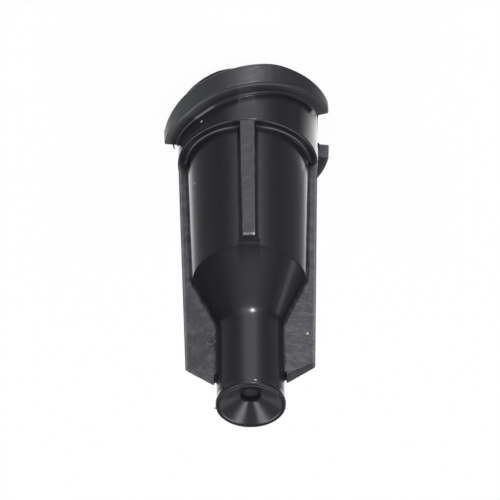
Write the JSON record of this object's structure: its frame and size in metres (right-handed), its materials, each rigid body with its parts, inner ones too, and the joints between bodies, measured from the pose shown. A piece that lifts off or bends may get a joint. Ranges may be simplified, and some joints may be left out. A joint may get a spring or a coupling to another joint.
{
  "type": "luer cap",
  "caption": "One-piece moulded cap: a tapered socket with two helical lock lugs seals a fitting, and side fins and a nose give the grip.",
  "frame": {"origin": "centre of the mouth's rim, on the mouth plane that the cap stands on", "axes": "+Z along the cap's axis from the open mouth to the nose, X along the two side fins, Y along the two short ribs"},
  "size_m": [0.0078, 0.0078, 0.0174],
  "materials": {
    "black_polypropylene": "satin, as moulded"
  },
  "bodies": {
    "root": {"luer_cap": "black_polypropylene"}
  },
  "joints": []
}
